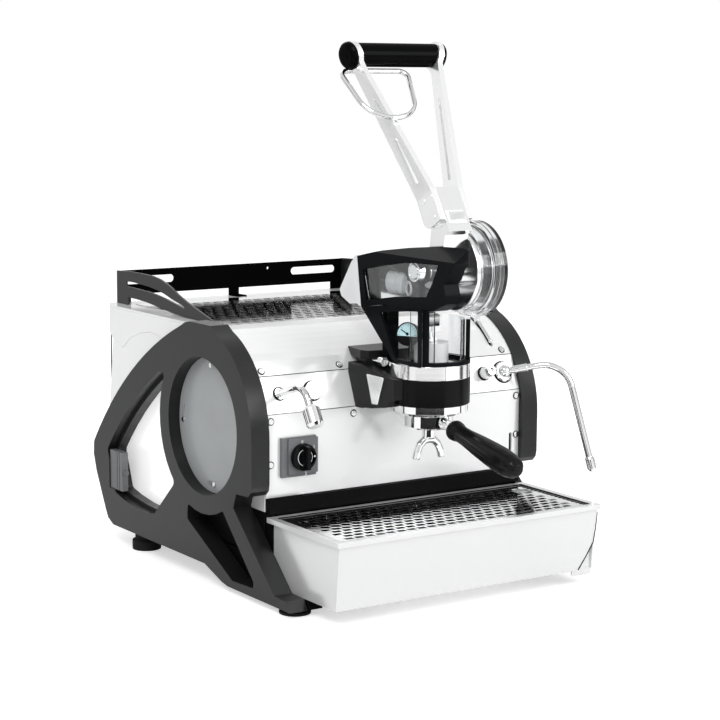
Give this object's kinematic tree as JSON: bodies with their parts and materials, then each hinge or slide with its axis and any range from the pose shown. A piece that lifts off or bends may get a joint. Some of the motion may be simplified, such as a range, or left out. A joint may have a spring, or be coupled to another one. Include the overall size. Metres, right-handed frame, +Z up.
{
  "type": "espresso machine",
  "caption": "Free-standing lever espresso machine with a spring-lever group, filter holder, steam wand, hot-water spout, drip tray and railed cup tray.",
  "frame": {"origin": "centre of the bounding box in plan, on the surface the feet stand on", "axes": "+Z up, -Y towards the user, +X towards the steam-wand side"},
  "size_m": [0.5522, 0.7582, 0.7705],
  "materials": {
    "satin_black": "satin",
    "black_plastic": "satin",
    "rubber": "matte",
    "polished_steel": "mirror polished",
    "brushed_steel": "brushed",
    "copper": "drawn",
    "chrome": "polished",
    "grey_plastic": "satin",
    "white_plastic": "satin",
    "clear": "clear polycarbonate",
    "dial_blue": "printed dial"
  },
  "bodies": {
    "machine": {"frame_left": "satin_black", "frame_right": "satin_black", "leg_left": "satin_black", "leg_right": "satin_black", "window_left": "polished_steel", "window_right": "polished_steel", "rear_blocks": "brushed_steel", "feet": "rubber", "base_pan": "satin_black", "panel_lower": "polished_steel", "panel_middle": "polished_steel", "panel_upper": "polished_steel", "top_cover": "polished_steel", "side_cover_left": "polished_steel", "side_cover_right": "polished_steel", "rear_panel": "brushed_steel", "ledge": "satin_black", "cup_tray": "brushed_steel", "cup_rail": "satin_black", "panel_screws": "brushed_steel", "steam_boiler": "copper", "motor_pump": "brushed_steel", "control_box": "brushed_steel", "switch_plate": "grey_plastic", "water_spout": "chrome", "water_nozzle": "chrome", "steam_flange": "chrome", "slot_plate": "satin_black", "group_yoke": "satin_black", "yoke_trim": "polished_steel", "group_bell": "chrome", "group_band": "black_plastic", "group_ring": "chrome", "group_sleeve": "white_plastic", "pipe_nut": "chrome", "mask": "black_plastic", "mask_panes": "clear", "gauge_case": "black_plastic", "gauge_dial": "dial_blue", "main_spring": "brushed_steel"},
    "lever": {"lever_arms": "brushed_steel", "lever_hub": "polished_steel", "cam_drum": "brushed_steel", "drum_cover": "clear", "grip": "black_plastic", "pull_loop": "chrome"},
    "piston_set": {"piston": "brushed_steel", "piston_roller": "brushed_steel"},
    "filter_holder": {"holder_body": "chrome", "holder_spout": "chrome", "holder_handle": "black_plastic"},
    "wand": {"steam_wand": "chrome", "wand_sleeve": "chrome"},
    "steam_valve": {"steam_knob": "chrome"},
    "water_push": {"water_button": "polished_steel"},
    "main_switch": {"switch_knob": "black_plastic"},
    "mixer": {"mixing_lever": "chrome"},
    "needle": {"gauge_needle": "black_plastic"},
    "tray": {"drip_tray": "polished_steel"},
    "grid": {"drip_grid": "brushed_steel"}
  },
  "joints": [
    {"name": "lever_hinge", "type": "hinge", "parent": "machine", "child": "lever", "pos_m": [-0.02613, -0.19793, 0.457], "axis": [1, 0, 0], "range_deg": [0, 100], "stiffness_Nm_per_rad": 6, "springref_deg": -34.38},
    {"name": "piston_slide", "type": "slide", "parent": "machine", "child": "piston_set", "axis": [0, 0, 1], "range_m": [0, 0.024], "deforming": ["main_spring"]},
    {"name": "holder_turn", "type": "hinge", "parent": "machine", "child": "filter_holder", "pos_m": [-0.02613, -0.17393, 0.247], "axis": [0, 0, 1], "range_deg": [-45, 0]},
    {"name": "wand_swivel", "type": "hinge", "parent": "machine", "child": "wand", "pos_m": [0.17087, -0.09195, 0.28621], "axis": [0, 0, 1], "range_deg": [-35, 10]},
    {"name": "steam_knob_turn", "type": "hinge", "parent": "machine", "child": "steam_valve", "pos_m": [0.13587, -0.0872, 0.2846], "axis": [0, -0.9244, 0.3814], "range_deg": [0, 270]},
    {"name": "water_button_push", "type": "slide", "parent": "machine", "child": "water_push", "axis": [0, 0.9244, -0.3814], "range_m": [0, 0.002], "stiffness_N_per_m": 400},
    {"name": "switch_turn", "type": "hinge", "parent": "machine", "child": "main_switch", "pos_m": [-0.19413, -0.11593, 0.197], "axis": [0, -1, 0], "range_deg": [-90, 0]},
    {"name": "mixing_lever_turn", "type": "hinge", "parent": "machine", "child": "mixer", "pos_m": [0.16537, 0.04507, 0.222], "axis": [1, 0, 0], "range_deg": [0, 13]},
    {"name": "needle_turn", "type": "hinge", "parent": "machine", "child": "needle", "pos_m": [-0.06463, -0.17413, 0.368], "axis": [-0.8295, -0.5183, 0.2079], "range_deg": [0, 120]},
    {"name": "tray_slide", "type": "slide", "parent": "machine", "child": "tray", "axis": [0, -1, 0], "range_m": [0, 0.15]},
    {"name": "grid_lift", "type": "slide", "parent": "tray", "child": "grid", "axis": [0, 0, 1], "range_m": [0, 0.03]}
  ],
  "couplings": [
    {"joint": "piston_slide", "follows": "lever_hinge", "m_per_rad": 0.013751}
  ]
}
